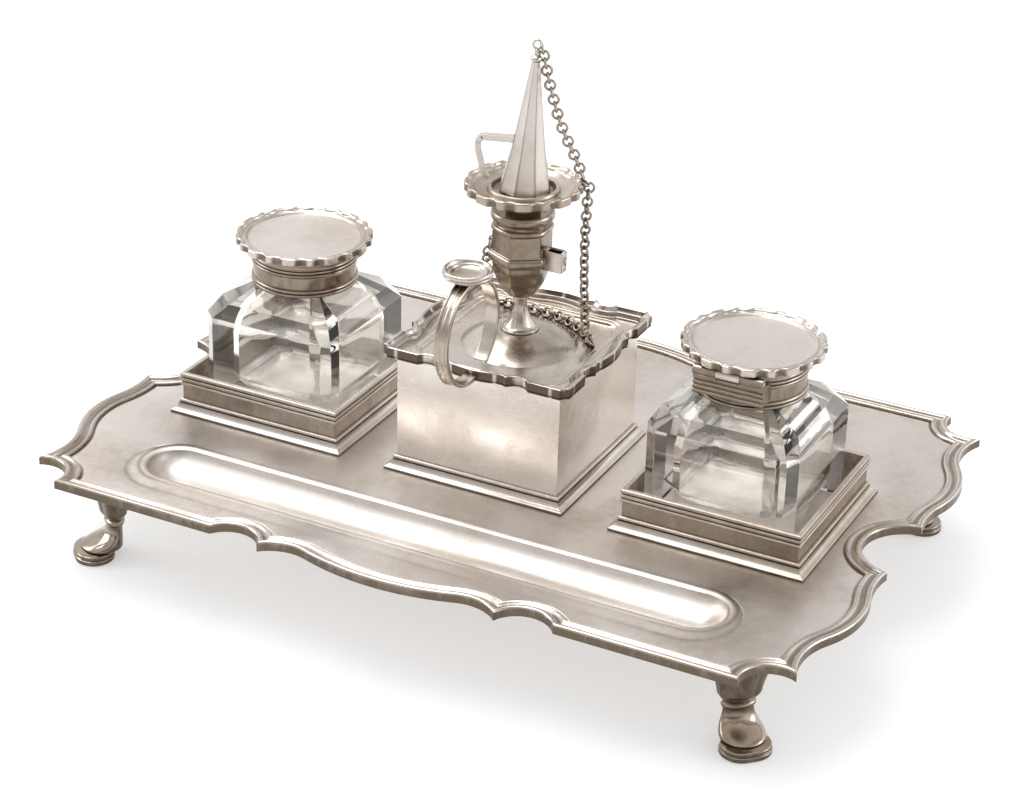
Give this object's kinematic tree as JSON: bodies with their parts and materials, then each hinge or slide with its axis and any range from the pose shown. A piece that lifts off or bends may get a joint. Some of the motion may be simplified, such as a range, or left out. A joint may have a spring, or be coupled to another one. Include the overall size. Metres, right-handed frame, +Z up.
{
  "type": "desk inkstand",
  "caption": "Shaped silver inkstand tray on feet with hinged square glass wells in galleries and a stamp box covered by a small chamberstick with nozzle and snuffer.",
  "frame": {"origin": "on the desk under the middle of the tray", "axes": "+X to the right along the tray's width, +Y to the back, away from the pen trough and the ring handle, +Z up"},
  "size_m": [0.3044, 0.2132, 0.1953],
  "materials": {
    "plain_silver": "polished silver sheet",
    "moulded_silver": "polished moulded silver wire",
    "cast_silver": "polished cast silver",
    "chain_silver": "drawn silver wire",
    "clear_glass": "clear cut glass"
  },
  "bodies": {
    "tray": {"tray_plate": "plain_silver", "tray_border": "moulded_silver", "front_left_foot": "cast_silver", "front_right_foot": "cast_silver", "back_left_foot": "cast_silver", "back_right_foot": "cast_silver", "left_gallery_wall": "plain_silver", "right_gallery_wall": "plain_silver", "left_gallery_rim": "moulded_silver", "right_gallery_rim": "moulded_silver", "left_gallery_base": "moulded_silver", "right_gallery_base": "moulded_silver", "stamp_box_wall": "plain_silver", "stamp_box_base": "moulded_silver"},
    "left_well": {"left_inkwell_glass": "clear_glass", "left_collar": "plain_silver", "left_hinge_pin": "plain_silver"},
    "left_lid": {"left_lid": "plain_silver", "left_lid_border": "moulded_silver"},
    "right_well": {"right_inkwell_glass": "clear_glass", "right_collar": "plain_silver", "right_hinge_pin": "plain_silver"},
    "right_lid": {"right_lid": "plain_silver", "right_lid_border": "moulded_silver"},
    "chamberstick": {"chamberstick_pan": "plain_silver", "chamberstick_pan_border": "moulded_silver", "candle_stem": "plain_silver", "candle_socket": "plain_silver", "snuffer_bracket": "plain_silver", "chain_eye": "chain_silver", "ring_handle": "cast_silver", "thumb_plate": "cast_silver", "chain_lying": "chain_silver"},
    "nozzle": {"candle_nozzle": "plain_silver", "chain_hanging": "chain_silver"},
    "snuffer": {"snuffer_cone": "plain_silver", "snuffer_hook": "plain_silver", "snuffer_finial": "plain_silver", "chain_upper": "chain_silver"}
  },
  "joints": [
    {"name": "left_well_lift", "type": "slide", "parent": "tray", "child": "left_well", "axis": [0, 0, 1], "range_m": [0, 0.025]},
    {"name": "left_lid_hinge", "type": "hinge", "parent": "left_well", "child": "left_lid", "pos_m": [-0.0888, 0.0216, 0.0994], "axis": [-1, 0, 0], "range_deg": [0, 105]},
    {"name": "right_well_lift", "type": "slide", "parent": "tray", "child": "right_well", "axis": [0, 0, 1], "range_m": [0, 0.025]},
    {"name": "right_lid_hinge", "type": "hinge", "parent": "right_well", "child": "right_lid", "pos_m": [0.0888, -0.0216, 0.0994], "axis": [1, 0, 0], "range_deg": [0, 105]},
    {"name": "chamberstick_lift", "type": "slide", "parent": "tray", "child": "chamberstick", "axis": [0, 0, 1], "range_m": [0, 0.025]},
    {"name": "nozzle_lift", "type": "slide", "parent": "chamberstick", "child": "nozzle", "axis": [0, 0, 1], "range_m": [0, 0.014]},
    {"name": "snuffer_lift", "type": "slide", "parent": "nozzle", "child": "snuffer", "axis": [0, 0, 1], "range_m": [0, 0.012]}
  ]
}
